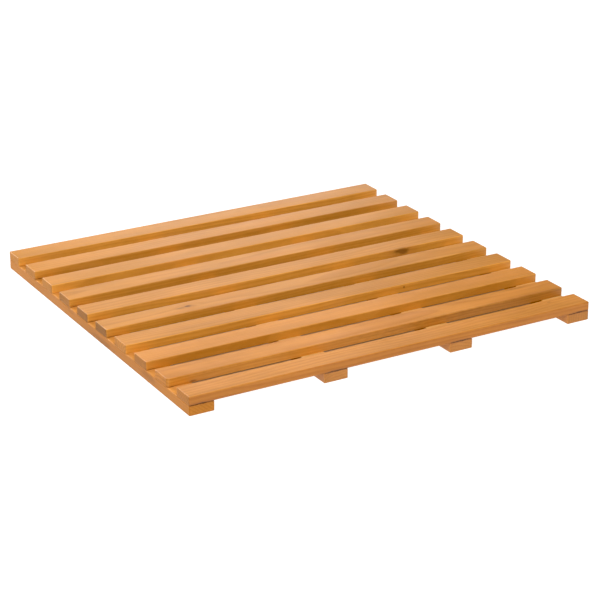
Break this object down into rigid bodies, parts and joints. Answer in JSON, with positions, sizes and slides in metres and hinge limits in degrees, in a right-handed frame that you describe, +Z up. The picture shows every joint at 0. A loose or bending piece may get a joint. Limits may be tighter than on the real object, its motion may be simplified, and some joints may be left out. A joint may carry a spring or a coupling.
{
  "type": "slatted bath mat",
  "caption": "Wooden bath mat built as a duckboard: spaced slats lie across bearers and are screwed to them from below, so water drains through.",
  "frame": {"origin": "centre of the footprint, on the floor that the bearers rest on", "axes": "+X along the slats, +Y along the bearers from front to back, +Z up out of the standing surface"},
  "size_m": [0.525, 0.5, 0.0225],
  "materials": {
    "slat_wood": "oiled honey-coloured softwood, satin, fine lengthwise grain, a few small knots",
    "bearer_wood": "oiled honey-coloured softwood, satin, a little darker than the slats",
    "screw_steel": "zinc-plated steel, satin"
  },
  "bodies": {
    "root": {"slat_01": "slat_wood", "slat_02": "slat_wood", "slat_03": "slat_wood", "slat_04": "slat_wood", "slat_05": "slat_wood", "slat_06": "slat_wood", "slat_07": "slat_wood", "slat_08": "slat_wood", "slat_09": "slat_wood", "slat_10": "slat_wood", "bearer_1": "bearer_wood", "bearer_2": "bearer_wood", "bearer_3": "bearer_wood", "bearer_4": "bearer_wood", "screw_b1_s01": "screw_steel", "screw_b1_s02": "screw_steel", "screw_b1_s03": "screw_steel", "screw_b1_s04": "screw_steel", "screw_b1_s05": "screw_steel", "screw_b1_s06": "screw_steel", "screw_b1_s07": "screw_steel", "screw_b1_s08": "screw_steel", "screw_b1_s09": "screw_steel", "screw_b1_s10": "screw_steel", "screw_b2_s01": "screw_steel", "screw_b2_s02": "screw_steel", "screw_b2_s03": "screw_steel", "screw_b2_s04": "screw_steel", "screw_b2_s05": "screw_steel", "screw_b2_s06": "screw_steel", "screw_b2_s07": "screw_steel", "screw_b2_s08": "screw_steel", "screw_b2_s09": "screw_steel", "screw_b2_s10": "screw_steel", "screw_b3_s01": "screw_steel", "screw_b3_s02": "screw_steel", "screw_b3_s03": "screw_steel", "screw_b3_s04": "screw_steel", "screw_b3_s05": "screw_steel", "screw_b3_s06": "screw_steel", "screw_b3_s07": "screw_steel", "screw_b3_s08": "screw_steel", "screw_b3_s09": "screw_steel", "screw_b3_s10": "screw_steel", "screw_b4_s01": "screw_steel", "screw_b4_s02": "screw_steel", "screw_b4_s03": "screw_steel", "screw_b4_s04": "screw_steel", "screw_b4_s05": "screw_steel", "screw_b4_s06": "screw_steel", "screw_b4_s07": "screw_steel", "screw_b4_s08": "screw_steel", "screw_b4_s09": "screw_steel", "screw_b4_s10": "screw_steel"}
  },
  "joints": []
}
